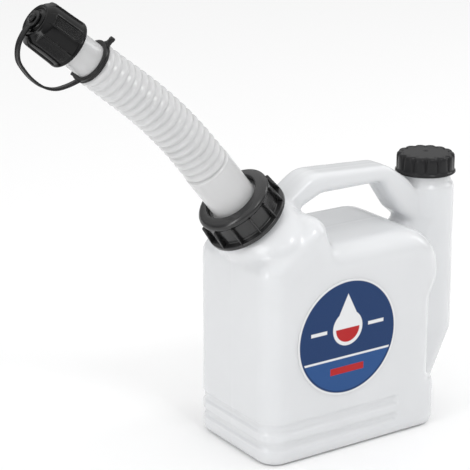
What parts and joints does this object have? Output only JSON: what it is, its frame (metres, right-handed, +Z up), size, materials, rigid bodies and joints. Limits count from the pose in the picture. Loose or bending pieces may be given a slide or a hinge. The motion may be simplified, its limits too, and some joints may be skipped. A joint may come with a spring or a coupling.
{
  "type": "fuel mixing bottle",
  "caption": "Translucent upright bottle with a moulded grip, a side filler column with a screw cap, and a slanted screw neck with a corrugated pouring spout and a tethered spout cap.",
  "frame": {"origin": "centre of the flat middle of the underside", "axes": "+X from the spout side towards the filler column, -Y the labelled face, +Z up"},
  "size_m": [0.298, 0.0803, 0.284],
  "materials": {
    "bottle_plastic": "translucent, satin",
    "label_film": "printed film",
    "gasket_rubber": "matte",
    "collar_plastic": "satin",
    "spout_plastic": "translucent, satin",
    "tether_plastic": "satin",
    "liner_foam": "matte foam",
    "cap_plastic": "gloss"
  },
  "bodies": {
    "bottle": {"bottle_body": "bottle_plastic", "label": "label_film"},
    "oil_cap_slide": {"oil_cap_liner": "liner_foam"},
    "oil_closure": {"oil_cap": "cap_plastic"},
    "neck_slide": {"spout_gasket": "gasket_rubber"},
    "neck_collar": {"spout_collar": "collar_plastic"},
    "spout": {"spout_tube": "spout_plastic", "cap_tether": "tether_plastic"},
    "spout_cap_slide": {"spout_cap_liner": "liner_foam"},
    "spout_closure": {"spout_cap": "cap_plastic"}
  },
  "joints": [
    {"name": "oil_cap_lift", "type": "slide", "parent": "bottle", "child": "oil_cap_slide", "axis": [0, 0, 1], "range_m": [0, 0.008]},
    {"name": "oil_cap_turn", "type": "hinge", "parent": "oil_cap_slide", "child": "oil_closure", "pos_m": [0.08, 0, 0.16], "axis": [0, 0, 1], "range_deg": [0, 720]},
    {"name": "spout_lift", "type": "slide", "parent": "bottle", "child": "neck_slide", "axis": [-0.6225, 0, 0.7826], "range_m": [0, 0.006]},
    {"name": "collar_turn", "type": "hinge", "parent": "neck_slide", "child": "neck_collar", "pos_m": [-0.0537, 0, 0.1443], "axis": [-0.6225, 0, 0.7826], "range_deg": [0, 540]},
    {"name": "spout_swivel", "type": "hinge", "parent": "neck_slide", "child": "spout", "pos_m": [-0.0537, 0, 0.1443], "axis": [-0.6225, 0, 0.7826], "continuous": true},
    {"name": "spout_cap_lift", "type": "slide", "parent": "spout", "child": "spout_cap_slide", "axis": [-0.7837, 0, 0.6211], "range_m": [0, 0.008], "deforming": ["cap_tether"]},
    {"name": "spout_cap_turn", "type": "hinge", "parent": "spout_cap_slide", "child": "spout_closure", "pos_m": [-0.18423, 0, 0.27209], "axis": [-0.7837, 0, 0.6211], "range_deg": [0, 720]}
  ],
  "couplings": [
    {"joint": "oil_cap_lift", "follows": "oil_cap_turn", "m_per_rad": 0.00063662},
    {"joint": "spout_lift", "follows": "collar_turn", "m_per_rad": 0.00063662},
    {"joint": "spout_cap_lift", "follows": "spout_cap_turn", "m_per_rad": 0.00063662}
  ]
}
